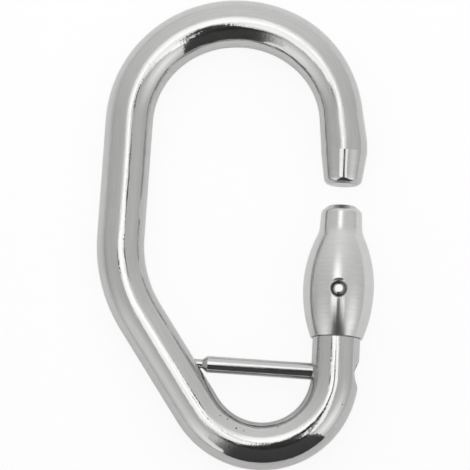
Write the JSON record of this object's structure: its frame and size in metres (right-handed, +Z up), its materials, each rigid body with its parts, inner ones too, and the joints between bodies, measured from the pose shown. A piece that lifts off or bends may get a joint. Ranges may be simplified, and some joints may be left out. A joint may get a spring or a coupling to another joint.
{
  "type": "carabiner",
  "caption": "Strap carabiner bent from round steel bar, with a sliding sleeve gate against a tapered nose and a screwed bar across the foot that keeps the strap in place.",
  "frame": {"origin": "middle of the outline, on the surface that the carabiner lies on", "axes": "+Y from the foot to the top arch, +X from the spine to the gate side, +Z up from the surface that it lies on"},
  "size_m": [0.0584, 0.1002, 0.0149],
  "materials": {
    "polished_bar": "polished stainless steel, with fine polishing marks and a few small pits",
    "polished_sleeve": "turned and polished stainless steel",
    "pin_steel": "ground stainless steel",
    "spring_wire": "drawn spring wire",
    "polished_screw": "turned and polished stainless steel"
  },
  "bodies": {
    "bow": {"bent_bar": "polished_bar", "strap_bar": "polished_screw", "gate_spring": "spring_wire"},
    "gate": {"gate_sleeve": "polished_sleeve", "cross_pin": "pin_steel"}
  },
  "joints": [
    {"name": "gate_slide", "type": "slide", "parent": "bow", "child": "gate", "axis": [0.0436, 0.999, 0], "range_m": [0, 0.00445], "stiffness_N_per_m": 840, "springref_m": 0.008, "deforming": ["gate_spring"]}
  ]
}
